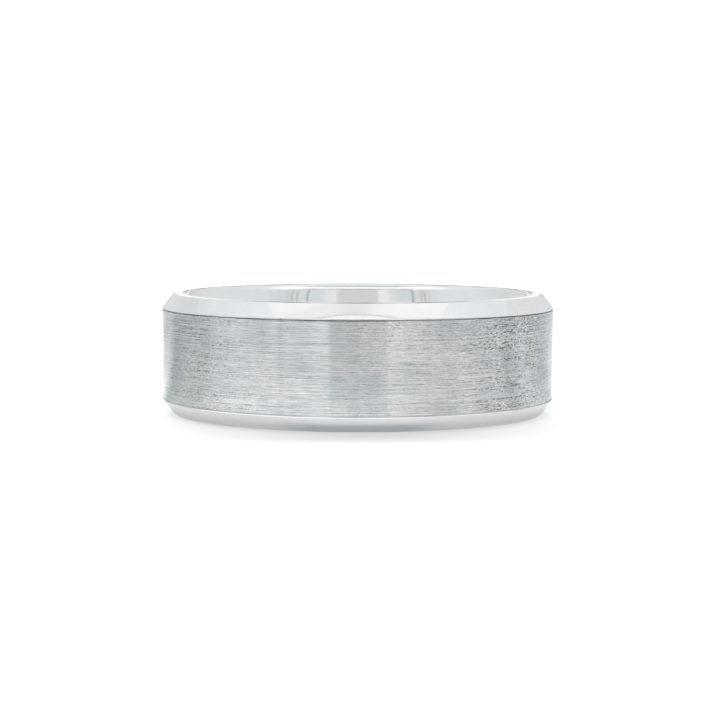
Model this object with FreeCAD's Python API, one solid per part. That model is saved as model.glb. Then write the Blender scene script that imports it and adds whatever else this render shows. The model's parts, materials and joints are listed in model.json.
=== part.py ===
# Comfort-fit wedding band with a brushed centre and polished bevelled edges.
# Millimetres. The origin is the centre of the finger hole, +Z runs along the finger,
# and the band is a body of revolution about Z that is the same above and below Z = 0.
import FreeCAD, Part
import math
import os

SAME = 1e-6  # lengths closer than this are equal

# Driving dimensions
BORE_D = 19.8  # inside diameter, ring size 10
WALL = 1.5  # bore to the brushed face
WIDTH = 7.0  # along the finger
BEVEL_IN = 0.62  # how far the bevel comes in
BEVEL_UP = 0.80  # how far the bevel rises
BEVEL_BOW = 0.01  # how far the bevel's middle stands proud of a straight cone
BEVEL_LAND = 0.055  # upright strip below the bevel
CROWN_DROP = 0.03  # from the resting land down to the bevel's upper corner
REST_LAND = 0.12  # width of the flat ring that the band stands on
FLARE_IN = 0.42  # comfort-fit flare, across the wall
FLARE_DEEP = 2.3  # comfort-fit flare, along the finger
LINER_WALL = 0.75  # bore to the seat of the three outer pieces
LINE_WIDE = 0.06  # parting line at each end of the centre sleeve
LINE_DEEP = 0.05
BEVEL_BREAK = 0.03  # polished-over corners of the bevel
SLEEVE_BREAK = 0.02  # softened corners of the brushed face

# Worked out from them
bore_r = BORE_D / 2
outer_r = bore_r + WALL
seat_r = bore_r + LINER_WALL
half_width = WIDTH / 2
bevel_top_r = outer_r - BEVEL_IN
bevel_top_z = half_width - CROWN_DROP
bevel_foot_z = bevel_top_z - BEVEL_UP
ring_foot_z = bevel_foot_z - BEVEL_LAND
land_in_r = bore_r + FLARE_IN
land_out_r = land_in_r + REST_LAND
crown_reach = bevel_top_r - land_out_r
crown_radius = (crown_reach**2 + CROWN_DROP**2) / (2 * CROWN_DROP)


def point(radius, height):
    """A point of the cross-section, which lies in the XZ plane."""
    return FreeCAD.Vector(radius, 0, height)


def line(start, end):
    return Part.LineSegment(start, end).toShape()


def arc(start, middle, end):
    return Part.Arc(start, middle, end).toShape()


def turned(edges):
    """The solid that a closed cross-section sweeps in one turn about the finger axis."""
    section = Part.Face(Part.Wire(edges))
    ring = section.revolve(FreeCAD.Vector(0, 0, 0), FreeCAD.Vector(0, 0, 1), 360)
    return ring if ring.Volume > 0 else ring.reversed()


def mirrored(shape):
    """The same piece at the other end of the band."""
    return shape.mirror(FreeCAD.Vector(0, 0, 0), FreeCAD.Vector(0, 0, 1))


def crown_height(radius):
    """Height of the shallow crown between the resting land and the bevel."""
    out = radius - land_out_r
    return half_width - crown_radius + math.sqrt(crown_radius**2 - out**2)


def crown_arc(start_r, end_r):
    middle_r = (start_r + end_r) / 2
    return arc(*(point(r, crown_height(r)) for r in (start_r, middle_r, end_r)))


def bevel_arc(foot, top):
    """The bevel from its foot to its upper corner, very slightly domed."""
    chord = top - foot
    outward = point(chord.z, -chord.x).normalize()
    return arc(foot, (foot + top) * 0.5 + outward * BEVEL_BOW, top)


def flare_arc():
    """Quarter ellipse from the bore up to the resting land."""
    centre = point(land_in_r, half_width - FLARE_DEEP)
    land = point(land_in_r, half_width)
    bore = point(bore_r, centre.z)
    ellipse = Part.Ellipse(land, bore, centre)
    quarter = sorted((ellipse.parameter(land), ellipse.parameter(bore)))
    if quarter[1] - quarter[0] > math.pi:
        quarter = [quarter[1], quarter[0] + 2 * math.pi]
    return Part.ArcOfEllipse(ellipse, *quarter).toShape()


def comfort_liner():
    """Inner sleeve: the finger hole, both flared ends and both resting lands."""
    upper_end = [
        crown_arc(seat_r, land_out_r),
        line(point(land_out_r, half_width), point(land_in_r, half_width)),
        flare_arc(),
    ]
    lower_end = [mirrored(edge) for edge in upper_end]
    seat_z = crown_height(seat_r)
    seat = line(point(seat_r, -seat_z), point(seat_r, seat_z))
    bore_z = half_width - FLARE_DEEP
    bore = line(point(bore_r, -bore_z), point(bore_r, bore_z))
    return turned(Part.__sortEdges__([seat, bore] + upper_end + lower_end))


def rounded(ring, corners, radius):
    """The ring with the round edges that pass through these corners of its section filleted."""
    edges = [
        edge
        for edge in ring.Edges
        for corner in corners
        if abs(edge.BoundBox.ZMax - corner.z) < SAME
        and abs(edge.BoundBox.ZMin - corner.z) < SAME
        and abs(edge.Curve.Radius - corner.x) < SAME
    ]
    return ring.makeFillet(radius, edges).Solids[0]


def centre_sleeve():
    """Outer sleeve with the brushed face, stepped in at both ends for the parting lines."""
    step_r = outer_r - LINE_DEEP
    face_z = ring_foot_z - LINE_WIDE
    outline = [
        point(seat_r, -ring_foot_z),
        point(step_r, -ring_foot_z),
        point(step_r, -face_z),
        point(outer_r, -face_z),
        point(outer_r, face_z),
        point(step_r, face_z),
        point(step_r, ring_foot_z),
        point(seat_r, ring_foot_z),
    ]
    closed = outline[1:] + outline[:1]
    sleeve = turned([line(a, b) for a, b in zip(outline, closed)])
    return rounded(sleeve, [point(outer_r, face_z), point(outer_r, -face_z)], SLEEVE_BREAK)


def edge_ring():
    """Upper bevelled ring: flat foot on the sleeve, bevel outside, a narrow crowned top."""
    foot_in = point(seat_r, ring_foot_z)
    foot_out = point(outer_r, ring_foot_z)
    bevel_foot = point(outer_r, bevel_foot_z)
    bevel_top = point(bevel_top_r, bevel_top_z)
    seat_top = point(seat_r, crown_height(seat_r))
    ring = turned(
        [
            line(foot_in, foot_out),
            line(foot_out, bevel_foot),
            bevel_arc(bevel_foot, bevel_top),
            crown_arc(bevel_top_r, seat_r),
            line(seat_top, foot_in),
        ]
    )
    return rounded(ring, [bevel_foot, bevel_top], BEVEL_BREAK)


def main():
    os.makedirs("parts", exist_ok=True)
    upper_ring = edge_ring()
    pieces = {
        "comfort_liner": comfort_liner(),
        "centre_sleeve": centre_sleeve(),
        "upper_edge_ring": upper_ring,
        "lower_edge_ring": mirrored(upper_ring),
    }
    for name, shape in pieces.items():
        shape.exportStep(f"parts/{name}.step")
        print(name, shape.ShapeType, shape.isValid(), round(shape.Volume, 3), len(shape.Faces))


main()
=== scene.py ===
import json
import math

import bpy
from mathutils import Euler, Matrix, Vector


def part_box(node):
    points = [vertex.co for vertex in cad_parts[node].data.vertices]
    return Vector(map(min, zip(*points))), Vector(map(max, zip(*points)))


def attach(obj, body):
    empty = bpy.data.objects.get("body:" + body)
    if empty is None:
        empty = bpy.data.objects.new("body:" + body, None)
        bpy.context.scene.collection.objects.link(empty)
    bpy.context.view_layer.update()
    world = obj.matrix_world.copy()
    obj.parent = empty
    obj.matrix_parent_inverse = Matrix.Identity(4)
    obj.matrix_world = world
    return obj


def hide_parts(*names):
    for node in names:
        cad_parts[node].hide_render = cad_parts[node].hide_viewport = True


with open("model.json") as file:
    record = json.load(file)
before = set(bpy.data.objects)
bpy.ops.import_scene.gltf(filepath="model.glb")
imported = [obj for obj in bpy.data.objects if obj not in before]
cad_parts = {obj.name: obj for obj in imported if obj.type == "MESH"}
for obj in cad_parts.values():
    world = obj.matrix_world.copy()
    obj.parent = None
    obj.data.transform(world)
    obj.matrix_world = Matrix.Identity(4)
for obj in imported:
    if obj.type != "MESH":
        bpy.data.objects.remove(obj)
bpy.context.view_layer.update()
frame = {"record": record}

MM = 0.001
BODY = "root"

# ---------------------------------------------------------------------------------------
# Sizes of the band, from the frame
# ---------------------------------------------------------------------------------------
mounts = {mount["name"]: mount for mount in frame["record"]["mounts"]}
bore_r = mounts["finger_bore"]["dims"]["r_mm"] * MM
bore_half = mounts["finger_bore"]["dims"]["length_mm"] * MM / 2
seat_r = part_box("comfort_liner")[1].x
half_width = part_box("comfort_liner")[1].z
outer_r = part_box("centre_sleeve")[1].x
sleeve_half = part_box("centre_sleeve")[1].z

# Details that the boxes don't give
REST_LAND = 0.12 * MM
BEVEL_IN = 0.62 * MM
BEVEL_BOW = 0.01 * MM
BEVEL_LAND = 0.055 * MM
CROWN_DROP = 0.03 * MM
LINE_WIDE = 0.06 * MM
LINE_DEEP = 0.05 * MM
BEVEL_BREAK = 0.03 * MM
SLEEVE_BREAK = 0.02 * MM

land_mid_r = mounts["upper_rest"]["pos_m"][0]
land_in_r = land_mid_r - REST_LAND / 2
land_out_r = land_mid_r + REST_LAND / 2
bevel_top = Vector((outer_r - BEVEL_IN, half_width - CROWN_DROP))
bevel_foot = Vector((outer_r, sleeve_half + BEVEL_LAND))
crown_reach = bevel_top.x - land_out_r
crown_radius = (crown_reach**2 + CROWN_DROP**2) / (2 * CROWN_DROP)

# ---------------------------------------------------------------------------------------
# Turned pieces: a cross-section of (radius, height) points, swept about the finger axis
# ---------------------------------------------------------------------------------------
SEGMENTS = 512
FILLET_STEPS = 6
FLARE_STEPS = 40
BEVEL_STEPS = 12
CROWN_STEPS = 8
SHARP_ANGLE = math.radians(20)


def fillet(before, corner, after, radius):
    """Points of the arc that rounds a corner of an outline, with one just outside each end.

    Those two keep the smooth shading of the arc off the long faces beside it.
    """
    to_before = (before - corner).normalized()
    to_after = (after - corner).normalized()
    half_angle = to_before.angle(to_after) / 2
    bisector = (to_before + to_after).normalized()
    centre = corner + bisector * (radius / math.sin(half_angle))
    reach = radius / math.tan(half_angle)
    start = corner + to_before * reach - centre
    end = corner + to_after * reach - centre
    turn = start.angle_signed(end)
    points = [corner + to_before * reach * 1.2]
    for step in range(FILLET_STEPS + 1):
        turned = start.copy()
        turned.rotate(Matrix.Rotation(-turn * step / FILLET_STEPS, 2))
        points.append(centre + turned)
    return points + [corner + to_after * reach * 1.2]


def crown_height(radius):
    """Height of the shallow crown between the resting land and the bevel."""
    out = radius - land_out_r
    return half_width - crown_radius + math.sqrt(crown_radius**2 - out**2)


def crown(start_r, end_r):
    """Points along the crown, both ends included."""
    radii = [start_r + (end_r - start_r) * step / CROWN_STEPS for step in range(CROWN_STEPS + 1)]
    return [Vector((radius, crown_height(radius))) for radius in radii]


def bevel():
    """Points along the slightly domed bevel, both ends included."""
    chord = bevel_top - bevel_foot
    outward = Vector((chord.y, -chord.x)).normalized()
    points = []
    for step in range(BEVEL_STEPS + 1):
        along = step / BEVEL_STEPS
        bow = BEVEL_BOW * (1 - (2 * along - 1) ** 2)
        points.append(bevel_foot + chord * along + outward * bow)
    return points


def flare():
    """Points of the comfort-fit quarter ellipse, from the bore up to the resting land."""
    across = land_in_r - bore_r
    deep = half_width - bore_half
    angles = [math.pi / 2 * step / FLARE_STEPS for step in range(FLARE_STEPS + 1)]
    return [
        Vector((land_in_r - across * math.cos(angle), bore_half + deep * math.sin(angle)))
        for angle in angles
    ]


def flipped(outline):
    """The outline at the other end of the band."""
    return [Vector((point.x, -point.y)) for point in reversed(outline)]


def sides(outline):
    """The start and the end of each side of a closed outline."""
    return zip(outline, outline[1:] + outline[:1])


def lathe(name, outline, material_of):
    """A closed ring of revolution, with its normals outwards and its corners sharp."""
    if sum(start.x * end.y - end.x * start.y for start, end in sides(outline)) < 0:
        outline = outline[::-1]
    count = len(outline)
    vertices = []
    for segment in range(SEGMENTS):
        angle = 2 * math.pi * segment / SEGMENTS
        across, along = math.cos(angle), math.sin(angle)
        vertices += [(point.x * across, point.x * along, point.y) for point in outline]
    faces = []
    for segment in range(SEGMENTS):
        here = segment * count
        there = (segment + 1) % SEGMENTS * count
        for index in range(count):
            after = (index + 1) % count
            faces.append((here + index, there + index, there + after, here + after))
    mesh = bpy.data.meshes.new(name)
    mesh.from_pydata(vertices, [], faces)
    side_materials = [material_of(start, end) for start, end in sides(outline)]
    materials = list(dict.fromkeys(side_materials))
    for material in materials:
        mesh.materials.append(material)
    for index, face in enumerate(mesh.polygons):
        face.use_smooth = True
        face.material_index = materials.index(side_materials[index % count])
    mesh.set_sharp_from_angle(angle=SHARP_ANGLE)
    mesh.update()
    piece = bpy.data.objects.new(name, mesh)
    bpy.context.scene.collection.objects.link(piece)
    return piece


# ---------------------------------------------------------------------------------------
# Materials
# ---------------------------------------------------------------------------------------
def new_material(name):
    """A metal: the material, its node tree and its Principled shader."""
    material = bpy.data.materials.new(name)
    material.use_nodes = True
    tree = material.node_tree
    shader = tree.nodes["Principled BSDF"]
    shader.inputs["Metallic"].default_value = 1.0
    return material, tree, shader


def add(tree, kind, **settings):
    """A new node of this kind, with these settings."""
    node = tree.nodes.new(kind)
    for name, value in settings.items():
        setattr(node, name, value)
    return node


def position(tree):
    """The X, Y and Z of a surface point in the piece's own frame."""
    place = add(tree, "ShaderNodeTexCoord")
    split = add(tree, "ShaderNodeSeparateXYZ")
    tree.links.new(place.outputs["Object"], split.inputs[0])
    return split.outputs


def stretched(tree, along, across):
    """Coordinates for a noise of so many waves per metre along the band, and across it, in Z.

    With far more across than along, the noise turns into lines round the band.
    """
    place = add(tree, "ShaderNodeTexCoord")
    scale = add(tree, "ShaderNodeVectorMath", operation="MULTIPLY")
    scale.inputs[1].default_value = (along, along, across)
    tree.links.new(place.outputs["Object"], scale.inputs[0])
    return scale.outputs[0]


def noise(tree, vector, detail, roughness):
    """A noise of about 0 to 1, with its middle at 0.5."""
    node = add(tree, "ShaderNodeTexNoise")
    node.inputs["Scale"].default_value = 1.0
    node.inputs["Detail"].default_value = detail
    node.inputs["Roughness"].default_value = roughness
    tree.links.new(vector, node.inputs["Vector"])
    return node.outputs["Fac"]


def mapped(tree, value, low, high, to_low, to_high):
    """The value taken from one range to another, held at both ends."""
    node = add(tree, "ShaderNodeMapRange")
    tree.links.new(value, node.inputs["Value"])
    limits = {"From Min": low, "From Max": high, "To Min": to_low, "To Max": to_high}
    for name, number in limits.items():
        node.inputs[name].default_value = number
    return node.outputs["Result"]


def math_node(tree, operation, first, second=0.0):
    """The result of an operation on two numbers or sockets; some use the first alone."""
    node = add(tree, "ShaderNodeMath", operation=operation)
    for socket, value in zip(node.inputs, (first, second)):
        if isinstance(value, (int, float)):
            socket.default_value = value
        else:
            tree.links.new(value, socket)
    return node.outputs[0]


def blended(tree, factor, first, second):
    """The first colour where the factor is 0, the second where it is 1, and a mix between."""
    node = add(tree, "ShaderNodeMix", data_type="RGBA")
    ends = [socket for socket in node.inputs if socket.type == "RGBA"]
    for socket, colour in zip(ends, (first, second)):
        if isinstance(colour, tuple):
            socket.default_value = (*colour, 1)
        else:
            tree.links.new(colour, socket)
    tree.links.new(factor, node.inputs["Factor"])
    return next(socket for socket in node.outputs if socket.type == "RGBA")


def tinted(tree, colour, tint):
    """One colour times another."""
    node = add(tree, "ShaderNodeVectorMath", operation="MULTIPLY")
    tree.links.new(colour, node.inputs[0])
    tree.links.new(tint, node.inputs[1])
    return node.outputs[0]


def weighted_sum(tree, layers):
    """The sum of some noises, each taken round its middle value and times its weight."""
    total = 0.0
    for layer, weight in layers:
        swing = math_node(tree, "MULTIPLY", math_node(tree, "SUBTRACT", layer, 0.5), weight)
        total = math_node(tree, "ADD", swing, total)
    return total


def light_colour(brightness, coolness):
    """A grey that turns a little blue as the coolness rises."""
    return (brightness * (1 - 0.06 * coolness), brightness, brightness * (1 + 0.015 * coolness))


def graded(tree, value, stops):
    """A colour that follows (value, brightness, coolness) stops."""
    low, high = stops[0][0], stops[-1][0]
    node = add(tree, "ShaderNodeValToRGB")
    tree.links.new(mapped(tree, value, low, high, 0, 1), node.inputs["Fac"])
    elements = node.color_ramp.elements
    inner = [elements.new((place - low) / (high - low)) for place, _, _ in stops[1:-1]]
    for element, (_, brightness, coolness) in zip([elements[0]] + inner + [elements[-1]], stops):
        element.color = (*light_colour(brightness, coolness), 1)
    return node.outputs["Color"]


SCRATCH_COLOUR = (0.18, 0.183, 0.186)
FACE_COLOUR = (0.758, 0.77, 0.779)
POLISHED_COLOUR = (0.81, 0.815, 0.82)
# Strength of the short scratches from the -X side to the +X side: (metres, strength). The rise towards
# both ends, most on the +X side, is painted light: the contrast that grazing light gives there.
SCRATCH_AND_PAINTED_LIGHT_SPREAD = (
    (-11.4 * MM, 1.2),
    (-10.4 * MM, 1.8),
    (-9.2 * MM, 2.5),
    (-6.5 * MM, 1.2),
    (-4.0 * MM, 0.5),
    (-2.0 * MM, 0.7),
    (0.5 * MM, 1.3),
    (4.5 * MM, 1.0),
    (6.3 * MM, 1.7),
    (7.8 * MM, 4.2),
    (9.2 * MM, 4.0),
    (10.4 * MM, 1.8),
    (11.4 * MM, 1.2),
)


def brushed_metal():
    """Satin face: fine lines round the band, and short scratches that gather in the dark ones. Both
    are stronger towards the ends, most on the +X side, as painted light.
    """
    material, tree, shader = new_material("brushed_white_metal")
    patches = noise(tree, stretched(tree, 110, 160), 1.0, 0.5)
    long_lines = noise(tree, stretched(tree, 180, 15000), 1.0, 0.5)
    streaks = noise(tree, stretched(tree, 1500, 17000), 1.0, 0.5)
    strokes = noise(tree, stretched(tree, 4500, 24000), 1.0, 0.5)
    grain = noise(tree, stretched(tree, 9000, 24000), 1.0, 0.5)
    clouds = noise(tree, stretched(tree, 260, 420), 2.0, 0.6)

    # A grey of this strength, which serves as a number
    spread_stops = [(place, strength, 0.0) for place, strength in SCRATCH_AND_PAINTED_LIGHT_SPREAD]
    spread = graded(tree, position(tree)[0], spread_stops)
    in_patches = mapped(tree, patches, 0.40, 0.62, 0.8, 1.3)
    in_dark_lines = mapped(tree, long_lines, 0.60, 0.40, 0.5, 1.5)
    strength = math_node(tree, "MULTIPLY", in_patches, spread)
    strength = math_node(tree, "MULTIPLY", strength, in_dark_lines)
    scratches = weighted_sum(tree, ((strokes, 0.55), (grain, 0.55)))
    scratches = math_node(tree, "MULTIPLY", scratches, strength)

    # The same spread deepens the long lines: painted light contrast, strongest on the +X side.
    lines_depth = mapped(tree, spread, 1.2, 4.2, 1.0, 1.4)
    lines = weighted_sum(tree, ((long_lines, 0.75), (streaks, 0.85)))
    lines = math_node(tree, "MULTIPLY", lines, lines_depth)
    pattern = math_node(tree, "ADD", lines, scratches)
    tone = math_node(tree, "POWER", mapped(tree, pattern, -0.55, 0.45, 0.0, 1.0), 0.6)
    metal = blended(tree, tone, SCRATCH_COLOUR, FACE_COLOUR)
    cloudiness = mapped(tree, clouds, 0.36, 0.64, 0, 1)
    cast = blended(tree, cloudiness, (0.90, 0.92, 0.925), (1.08, 1.07, 1.06))
    tree.links.new(tinted(tree, metal, cast), shader.inputs["Base Color"])

    tree.links.new(mapped(tree, streaks, 0.3, 0.7, 0.10, 0.12), shader.inputs["Roughness"])
    shader.inputs["Anisotropic"].default_value = 1.0
    shader.inputs["Anisotropic Rotation"].default_value = 0.25
    tangent = add(tree, "ShaderNodeTangent", direction_type="RADIAL", axis="Z")
    tree.links.new(tangent.outputs[0], shader.inputs["Tangent"])
    bump = add(tree, "ShaderNodeBump")
    bump.inputs["Strength"].default_value = 0.35
    bump.inputs["Distance"].default_value = 0.02 * MM
    ridges = weighted_sum(tree, ((long_lines, 1.6), (streaks, 0.5)))
    tree.links.new(ridges, bump.inputs["Height"])
    tree.links.new(bump.outputs[0], shader.inputs["Normal"])
    return material


def polished_metal(name, colour):
    """Mirror polish with the faintest wander and hairlines."""
    material, tree, shader = new_material(name)
    wander = noise(tree, stretched(tree, 1500, 1500), 3.0, 0.6)
    hairlines = noise(tree, stretched(tree, 500, 12000), 2.0, 0.5)
    finish = weighted_sum(tree, ((wander, 1.0), (hairlines, 0.6)))
    duller = tuple(0.96 * part for part in colour)
    metal = blended(tree, mapped(tree, finish, -0.2, 0.2, 0, 1), duller, colour)
    tree.links.new(metal, shader.inputs["Base Color"])
    tree.links.new(mapped(tree, finish, -0.2, 0.2, 0.08, 0.05), shader.inputs["Roughness"])
    return material


def groove_metal(name, dark, light):
    """The unpolished floor and sides of a parting line."""
    material, tree, shader = new_material(name)
    mottle = noise(tree, stretched(tree, 500, 3000), 2.0, 0.5)
    metal = blended(tree, mapped(tree, mottle, 0.35, 0.65, 0, 1), dark, light)
    tree.links.new(metal, shader.inputs["Base Color"])
    shader.inputs["Roughness"].default_value = 0.45
    return material


brushed = brushed_metal()
polished_bore = polished_metal("polished_bore_metal", POLISHED_COLOUR)
polished_bevel = polished_metal("polished_bevel_metal", POLISHED_COLOUR)
# The upper parting line is painted much darker than the lower one: painted shade on unpolished metal.
upper_groove_painted_shade = groove_metal("upper_parting_line_painted_shade", (0.10, 0.105, 0.11), (0.34, 0.345, 0.35))
lower_groove = groove_metal("lower_parting_line", (0.50, 0.51, 0.52), (0.66, 0.67, 0.68))


# ---------------------------------------------------------------------------------------
# The four pieces of the band
# ---------------------------------------------------------------------------------------
def liner_outline():
    """Section of the liner: bore, flares, resting lands and crowns, and the seat outside."""
    upper = flare() + crown(land_out_r, seat_r)
    return flipped(upper) + upper


def sleeve_outline():
    """Section of the sleeve: the brushed face, with a parting line cut at each end."""
    step_r = outer_r - LINE_DEEP
    face_half = sleeve_half - LINE_WIDE
    below_corner = Vector((outer_r, 0))
    corner = Vector((outer_r, face_half))
    step = Vector((step_r, face_half))
    lip = [step, Vector((step_r, sleeve_half)), Vector((seat_r, sleeve_half))]
    upper = fillet(below_corner, corner, step, SLEEVE_BREAK) + lip
    return flipped(upper) + upper


def edge_ring_outline():
    """Section of the upper edge ring: foot, upright strip, domed bevel and crown."""
    foot_in = Vector((seat_r, sleeve_half))
    foot_out = Vector((outer_r, sleeve_half))
    face = bevel()
    top_in = crown(bevel_top.x, seat_r)
    foot_corner = fillet(foot_out, bevel_foot, face[1], BEVEL_BREAK)
    top_corner = fillet(face[-2], bevel_top, top_in[1], BEVEL_BREAK)
    return [foot_in, foot_out] + foot_corner + face[1:-1] + top_corner + top_in[2:]


def sleeve_material(start, end):
    """The parting lines are darker than the face; the upper one is darkest, with painted shade."""
    height = (start.y + end.y) / 2
    if abs(height) < sleeve_half - LINE_WIDE - SLEEVE_BREAK / 2:
        return brushed
    return upper_groove_painted_shade if height > 0 else lower_groove


def evenly(material):
    """The same material all round a section."""
    return lambda start, end: material


# Each piece: the node that it replaces, its section, the material of each side of it, its slot
PIECES = (
    ("comfort_liner", liner_outline(), evenly(polished_bore), "polished_bore"),
    ("centre_sleeve", sleeve_outline(), sleeve_material, "brushed_face"),
    ("upper_edge_ring", edge_ring_outline(), evenly(polished_bevel), "polished_bevel"),
    ("lower_edge_ring", flipped(edge_ring_outline()), evenly(polished_bevel), "polished_bevel"),
)
for node, outline, material_of, slot in PIECES:
    piece = lathe(f"band_{node}", outline, material_of)
    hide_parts(node)
    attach(piece, BODY)


# ---------------------------------------------------------------------------------------
# Studio: a white tent round the band. Its panels are seen in the metal and nowhere else,
# so the floor and the background stay evenly white. Azimuth 0 is at -Y.
# ---------------------------------------------------------------------------------------
WORLD_STRENGTH = 1.13
FLOOR_REACH = 6.0
FLOOR_GLOW = 0.61
KEY_TURNS = (math.radians(-25), math.radians(32))
KEY_TILT = math.radians(-65)
KEY_SPREAD = math.radians(75)
KEY_ENERGY = 25.0
SLIT_HALF = 15.6
WALL_R = 91 * MM
WALL_TOP = 54.5 * MM
HEM_TOP = 65 * MM
STRIP_TOP = 88 * MM
BACK_Y = 88 * MM
BACK_HALF = 26 * MM
BACK_LOW = 13.5 * MM
BACK_HIGH = 42 * MM
BACK_TOP = 75 * MM
CEILING_Z = 100 * MM
CEILING_HALF = 66 * MM
CEILING_FRONT = -46.1 * MM
CEILING_BACK = 70 * MM
FRONT_BOX_LOW = (-40 * MM, -60 * MM)
FRONT_BOX_HIGH = (40 * MM, -47.5 * MM)
FRONT_BOX_GLOW = 1.17
DOME_R = 260 * MM
TABLE_HOLE_R = 10 * MM
TABLE_LIFT = 0.01 * MM
TABLE_NEAR = 15 * MM
TABLE_FAR = 90 * MM
SHADE_R = 11.9 * MM
FOCUS = 6 * MM

# Light of the wall by azimuth in degrees: (azimuth, brightness, coolness)
WALL_LIGHT = (
    (-180, 0.75, 0.0),
    (-166, 0.72, 0.0),
    (-157, 0.83, 0.3),
    (-150, 0.84, 0.4),
    (-123, 0.84, 0.5),
    (-108, 0.90, 0.7),
    (-74, 0.93, 0.7),
    (-60, 0.86, 0.7),
    (-35, 0.835, 0.8),
    (-28, 0.88, 0.5),
    (-22.5, 1.0, 0.0),
    (-16.4, 1.0, 0.0),
    (-SLIT_HALF, 0.79, 0.0),
    (16, 0.79, 0.0),
    (17.2, 0.97, 0.0),
    (22.5, 0.97, 0.0),
    (29, 0.87, 0.8),
    (38, 0.865, 0.8),
    (60, 0.83, 0.8),
    (79, 0.90, 0.7),
    (113, 0.91, 0.4),
    (150, 0.86, 0.2),
    (157, 0.80, 0.3),
    (166, 0.66, 0.0),
    (180, 0.75, 0.0),
)
# Light of the table by azimuth, before it falls off outwards: (azimuth, brightness, coolness)
TABLE_LIGHT = (
    (-180, 0.95, 0.0),
    (-168, 1.25, 0.0),
    (-158, 1.15, 0.0),
    (-150, 0.84, 0.2),
    (-143, 0.92, 0.3),
    (-137, 0.98, 0.5),
    (-126, 0.53, 0.5),
    (-109, 0.68, 0.5),
    (-96, 0.63, 0.3),
    (-90, 0.82, 0.3),
    (-74, 1.02, 0.2),
    (-29, 1.12, 0.3),
    (-16.4, 1.12, 0.3),
    (-SLIT_HALF, 0.86, 0.8),
    (0, 0.78, 0.7),
    (16, 0.86, 0.6),
    (17.2, 1.04, 0.0),
    (25, 1.00, 0.0),
    (46, 0.86, 0.0),
    (63, 0.88, 0.0),
    (74, 0.76, 0.0),
    (86, 0.80, 0.3),
    (92, 0.53, 0.5),
    (98, 0.66, 0.8),
    (104, 0.84, 0.8),
    (111, 0.80, 0.8),
    (119, 0.72, 0.8),
    (128, 0.66, 0.6),
    (140, 0.88, 0.5),
    (160, 1.00, 0.2),
    (180, 0.95, 0.0),
)
# Light of the panels behind the band by distance from their middle: (metres, brightness, coolness)
HIGH_BACK_LIGHT = (
    (0 * MM, 0.36, 0.0),
    (1.5 * MM, 0.36, 0.0),
    (3.2 * MM, 0.80, 0.0),
    (5.8 * MM, 0.84, 0.0),
    (7.2 * MM, 0.34, 0.0),
    (8.6 * MM, 0.38, 0.0),
    (11 * MM, 0.60, 0.0),
    (14 * MM, 0.80, 0.0),
    (17 * MM, 1.05, 0.0),
    (BACK_HALF, 1.05, 0.0),
)
TOP_BACK_LIGHT = (
    (0 * MM, 0.32, 0.0),
    (BACK_HALF, 0.32, 0.0),
)
LOW_BACK_LIGHT = (
    (0 * MM, 0.90, 0.0),
    (14 * MM, 0.95, 0.0),
    (17 * MM, 1.05, 0.0),
    (18.5 * MM, 1.05, 0.0),
    (20.5 * MM, 0.70, 0.0),
    (BACK_HALF, 0.70, 0.0),
)
# Light of the wall's hem, of the strip over it and of the room over the tent by distance in
# azimuth from the lens: (azimuth, brightness, coolness)
HEM_LIGHT = (
    (0, 0.66, 0.0),
    (12, 0.66, 0.0),
    (22, 0.82, 0.0),
    (30, 0.82, 0.0),
    (38, 0.70, 0.0),
    (43, 0.74, 0.0),
    (50, 1.10, 0.2),
    (68, 1.10, 0.4),
    (85, 1.00, 0.7),
    (97, 0.97, 0.7),
    (113, 0.91, 0.5),
    (180, 0.91, 0.5),
)
STRIP_LIGHT = (
    (0, 1.22, 0.0),
    (30, 1.22, 0.0),
    (45, 1.35, 0.0),
    (65, 1.35, 0.2),
    (85, 0.98, 0.7),
    (180, 0.93, 0.7),
)
DOME_LIGHT = (
    (0, 0.70, 1.0),
    (35, 0.70, 1.0),
    (60, 1.08, 0.4),
    (75, 1.07, 0.5),
    (100, 1.0, 0.6),
    (113, 0.97, 0.7),
    (120, 0.72, 0.7),
    (180, 0.70, 0.6),
)
# Light of the ceiling from front to back: (metres, brightness, coolness)
CEILING_LIGHT = (
    (CEILING_FRONT, 1.0, 0.0),
    (-3 * MM, 1.0, 0.0),
    (2 * MM, 0.52, 0.0),
    (44 * MM, 0.52, 0.0),
    (50 * MM, 0.95, 0.0),
    (CEILING_BACK, 0.95, 0.0),
)
# Shade on the table under the band by distance from its axis: (metres, brightness, coolness)
FRONT_SHADE = (
    (10.4 * MM, 0.45, 1.6),
    (10.98 * MM, 0.47, 1.6),
    (11.11 * MM, 0.52, 1.2),
    (11.23 * MM, 0.71, 0.8),
    (11.33 * MM, 0.82, 0.4),
    (11.53 * MM, 0.93, 0.2),
    (SHADE_R, 0.95, 0.2),
)
SIDE_SHADE = (
    (10.4 * MM, 0.56, 0.4),
    (10.95 * MM, 0.63, 0.4),
    (11.2 * MM, 0.74, 0.2),
    (11.5 * MM, 0.87, 0.0),
    (SHADE_R, 0.89, 0.0),
)
# Sewn seams of the front wall: (azimuth, brightness)
SEAMS = (
    (40.5, 0.55),
    (49, 0.60),
    (53.5, 0.62),
    (57, 0.75),
    (-44.5, 0.45),
    (-51.5, 0.70),
    (-54.5, 0.62),
    (-58, 0.75),
)


def glow_material(name):
    """A light-emitting material that is only found by reflections, with its tree and emission node."""
    material = bpy.data.materials.new(name)
    material.use_nodes = True
    material.cycles.emission_sampling = "NONE"
    tree = material.node_tree
    tree.nodes.clear()
    glow = add(tree, "ShaderNodeEmission")
    out = add(tree, "ShaderNodeOutputMaterial")
    tree.links.new(glow.outputs[0], out.inputs["Surface"])
    return material, tree, glow


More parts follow.
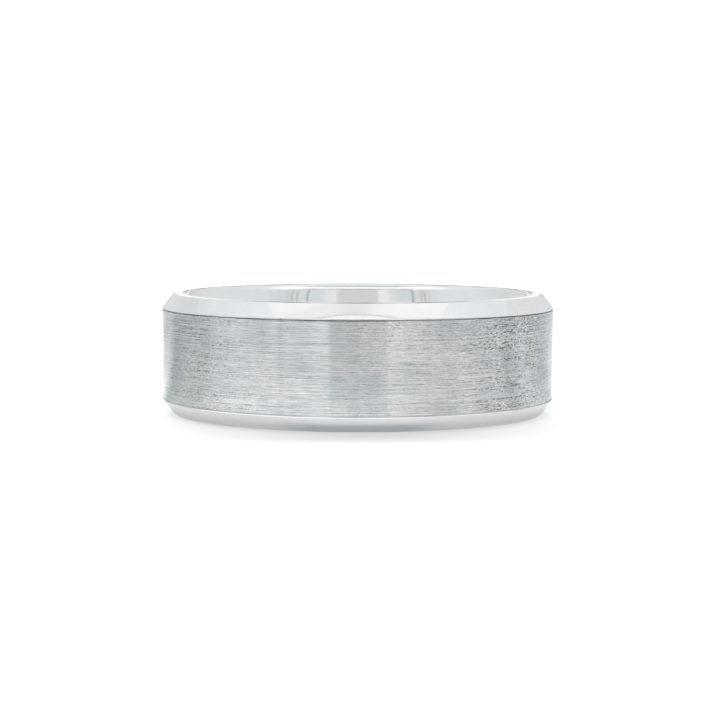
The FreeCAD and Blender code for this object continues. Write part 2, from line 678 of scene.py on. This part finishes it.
def azimuth(tree):
    """Degrees from -Y, -180 to 180, round the point that the outside of the band focuses on.

    Seen from there, an edge painted on the table and on the wall is one straight line in the metal.
    """
    x, y, _ = position(tree)
    towards = math_node(tree, "SUBTRACT", -FOCUS, y)
    return math_node(tree, "DEGREES", math_node(tree, "ARCTAN2", x, towards))


def radius(tree):
    """Metres from the finger axis."""
    x, y, _ = position(tree)
    x_squared = math_node(tree, "MULTIPLY", x, x)
    y_squared = math_node(tree, "MULTIPLY", y, y)
    return math_node(tree, "SQRT", math_node(tree, "ADD", x_squared, y_squared))


def magnitude(tree, value):
    """The value without its sign."""
    return math_node(tree, "ABSOLUTE", value)


def inside(tree, value, reach, soft):
    """1 where a value is under reach, falling to 0 over soft."""
    return mapped(tree, value, reach, reach + soft, 1, 0)


def reflector(name, vertices, faces, material):
    """A studio surface that only reflections see."""
    mesh = bpy.data.meshes.new(name)
    mesh.from_pydata(vertices, [], faces)
    mesh.materials.append(material)
    piece = bpy.data.objects.new(name, mesh)
    piece.visible_camera = False
    piece.visible_diffuse = False
    piece.visible_shadow = False
    bpy.context.scene.collection.objects.link(piece)


def ring_surface(name, low, high, material):
    """A surface of revolution between two (radius, height) circles."""
    steps = 180
    vertices = []
    for step in range(steps):
        turn = 2 * math.pi * step / steps
        for reach, z in (low, high):
            vertices.append((reach * math.sin(turn), -reach * math.cos(turn), z))
    faces = []
    for step in range(steps):
        here = 2 * step
        there = 2 * ((step + 1) % steps)
        faces.append((here, here + 1, there + 1, there))
    reflector(name, vertices, faces, material)


def rectangle(low, high, z):
    """Corners of the level rectangle between two (x, y) corners."""
    left, front = low
    right, back = high
    return [(left, front, z), (right, front, z), (right, back, z), (left, back, z)]


def sheet(name, low, high, z, material):
    """A level rectangle that only reflections see."""
    reflector(name, rectangle(low, high, z), [(0, 1, 2, 3)], material)


def tent_wall():
    """The wall: a slit for the lens, a bright panel each side of it, and seams sewn in the front."""
    material, tree, glow = glow_material("tent_wall")
    turn = azimuth(tree)
    colour = graded(tree, turn, WALL_LIGHT)
    for seam, brightness in SEAMS:
        distance = magnitude(tree, math_node(tree, "SUBTRACT", turn, seam))
        colour = blended(tree, inside(tree, distance, 0.5, 0.6), colour, light_colour(brightness, 0))
    tree.links.new(colour, glow.inputs["Color"])
    ring_surface("tent_wall", (WALL_R, -half_width), (WALL_R, WALL_TOP), material)


def back_panel(name, low, high, stops):
    """A panel standing behind the band."""
    material, tree, glow = glow_material(name)
    off_middle = magnitude(tree, position(tree)[0])
    tree.links.new(graded(tree, off_middle, stops), glow.inputs["Color"])
    left, right = -BACK_HALF, BACK_HALF
    vertices = [
        (left, BACK_Y, low),
        (right, BACK_Y, low),
        (right, BACK_Y, high),
        (left, BACK_Y, high),
    ]
    reflector(name, vertices, [(0, 1, 2, 3)], material)


def tent_band(name, low, high, stops):
    """A level band of the tent, the same on both sides of the lens."""
    material, tree, glow = glow_material(name)
    off_lens = magnitude(tree, azimuth(tree))
    tree.links.new(graded(tree, off_lens, stops), glow.inputs["Color"])
    ring_surface(name, (WALL_R, low), (WALL_R, high), material)


def falloff(tree, reach, near, far):
    """A strength that changes evenly from near the band to the wall."""
    return mapped(tree, reach, TABLE_NEAR, TABLE_FAR, near, far)


def tabletop():
    """What the metal sees of the table: the light round the tent, and the shade under the band."""
    material, tree, glow = glow_material("tabletop")
    reach = radius(tree)
    turn = azimuth(tree)
    off_lens = magnitude(tree, turn)
    at_sides = falloff(tree, reach, 1.25, 0.74)
    in_front = falloff(tree, reach, 1.15, 0.84)
    in_slit = falloff(tree, reach, 1.42, 0.42)
    strength = blended(tree, inside(tree, off_lens, 45, 25), at_sides, in_front)
    strength = blended(tree, inside(tree, off_lens, SLIT_HALF, 0.8), strength, in_slit)
    light = tinted(tree, graded(tree, turn, TABLE_LIGHT), strength)
    front = inside(tree, off_lens, 30, 24)
    shade = blended(tree, front, graded(tree, reach, SIDE_SHADE), graded(tree, reach, FRONT_SHADE))
    colour = blended(tree, inside(tree, reach, SHADE_R, 2 * MM), light, shade)
    tree.links.new(colour, glow.inputs["Color"])
    z = -half_width + TABLE_LIFT
    ring_surface("tabletop", (TABLE_HOLE_R, z), (WALL_R, z), material)


def ceiling():
    """The overhead softbox, dim in the middle of its front edge, and a narrow one before it."""
    material, tree, glow = glow_material("ceiling")
    x, y, _ = position(tree)
    level = mapped(tree, magnitude(tree, x), 0, 22 * MM, 0.95, 1.08)
    lean = mapped(tree, x, -20 * MM, 20 * MM, -0.02, 0.06)
    behind_edge = mapped(tree, y, -38 * MM, -30 * MM, 0.9, 1.13)
    strength = math_node(tree, "MAXIMUM", math_node(tree, "ADD", level, lean), behind_edge)
    tree.links.new(strength, glow.inputs["Strength"])
    tree.links.new(graded(tree, y, CEILING_LIGHT), glow.inputs["Color"])
    low, high = (-CEILING_HALF, CEILING_FRONT), (CEILING_HALF, CEILING_BACK)
    sheet("ceiling", low, high, CEILING_Z, material)
    front, _, front_glow = glow_material("ceiling_front")
    front_glow.inputs["Strength"].default_value = FRONT_BOX_GLOW
    sheet("ceiling_front", FRONT_BOX_LOW, FRONT_BOX_HIGH, CEILING_Z, front)


def dome():
    """The room behind the tent's panels: grey in front and at the back, brighter at the sides."""
    material, tree, glow = glow_material("dome")
    off_lens = magnitude(tree, azimuth(tree))
    tree.links.new(graded(tree, off_lens, DOME_LIGHT), glow.inputs["Color"])
    rows, steps = 24, 72
    vertices = []
    for row in range(rows):
        rise = math.pi / 2 * row / rows
        flat = DOME_R * math.cos(rise)
        z = DOME_R * math.sin(rise) - half_width
        for step in range(steps):
            turn = 2 * math.pi * step / steps
            vertices.append((flat * math.sin(turn), -flat * math.cos(turn), z))
    faces = []
    for row in range(rows - 1):
        low = row * steps
        high = low + steps
        for step in range(steps):
            after = (step + 1) % steps
            faces.append((low + step, low + after, high + after, high + step))
    faces.append(tuple(range((rows - 1) * steps, rows * steps)))
    reflector("dome", vertices, faces, material)


def floor():
    """A lit white table, so the shade on it stays soft."""
    low, high = (-FLOOR_REACH, -FLOOR_REACH), (FLOOR_REACH, FLOOR_REACH)
    corners = rectangle(low, high, -half_width)
    mesh = bpy.data.meshes.new("floor")
    mesh.from_pydata(corners, [], [(0, 1, 2, 3)])
    material, _, shader = new_material("pale_floor")
    shader.inputs["Metallic"].default_value = 0.0
    shader.inputs["Base Color"].default_value = (0.10, 0.10, 0.10, 1)
    shader.inputs["Roughness"].default_value = 0.9
    shader.inputs["Specular IOR Level"].default_value = 0.0
    shader.inputs["Emission Color"].default_value = (1, 1, 1, 1)
    shader.inputs["Emission Strength"].default_value = FLOOR_GLOW
    material.cycles.emission_sampling = "NONE"
    mesh.materials.append(material)
    piece = bpy.data.objects.new("floor", mesh)
    bpy.context.scene.collection.objects.link(piece)


def key_lights():
    """Two very wide soft lights behind the band, one each side, so its shade falls in front.

    The metal doesn't see them.
    """
    for turn in KEY_TURNS:
        light = bpy.data.lights.new("soft_key", "SUN")
        light.energy = KEY_ENERGY
        light.angle = KEY_SPREAD
        lamp = bpy.data.objects.new("soft_key", light)
        lamp.rotation_euler = Euler((KEY_TILT, 0, turn))
        lamp.visible_glossy = False
        bpy.context.scene.collection.objects.link(lamp)


def white_world():
    """An evenly white background, shown as it is."""
    world = bpy.data.worlds.new("white")
    world.use_nodes = True
    background = world.node_tree.nodes["Background"]
    background.inputs["Color"].default_value = (1, 1, 1, 1)
    background.inputs["Strength"].default_value = WORLD_STRENGTH
    world.cycles.sampling_method = "NONE"
    bpy.context.scene.world = world
    bpy.context.scene.view_settings.view_transform = "Standard"


floor()
key_lights()
white_world()
dome()
tent_wall()
back_panel("low_back_panel", -half_width, BACK_LOW, LOW_BACK_LIGHT)
back_panel("high_back_panel", BACK_LOW, BACK_HIGH, HIGH_BACK_LIGHT)
back_panel("top_back_panel", BACK_HIGH, BACK_TOP, TOP_BACK_LIGHT)
tent_band("tent_hem", WALL_TOP, HEM_TOP, HEM_LIGHT)
tent_band("tent_strip", HEM_TOP, STRIP_TOP, STRIP_LIGHT)
tabletop()
ceiling()

# ---------------------------------------------------------------------------------------
# Camera
# ---------------------------------------------------------------------------------------
CAMERA_DISTANCE = 125.1 * MM
CAMERA_ELEVATION = math.radians(4.68)
CAMERA_LENS = 106.5
camera_data = bpy.data.cameras.new("camera")
camera_data.lens = CAMERA_LENS
camera_data.sensor_width = 36.0
camera_data.clip_start = 1 * MM
camera_data.clip_end = 20.0
camera = bpy.data.objects.new("camera", camera_data)
bpy.context.scene.collection.objects.link(camera)
camera.location = (
    0,
    -CAMERA_DISTANCE * math.cos(CAMERA_ELEVATION),
    CAMERA_DISTANCE * math.sin(CAMERA_ELEVATION),
)
PAN = math.radians(-0.062)
TILT = math.radians(0.223)
ROLL = math.radians(0.15)
facing = Euler((math.pi / 2 - CAMERA_ELEVATION - TILT, 0, PAN), "XYZ").to_matrix()
camera.rotation_euler = (facing @ Matrix.Rotation(ROLL, 3, "Z")).to_euler()
bpy.context.scene.camera = camera
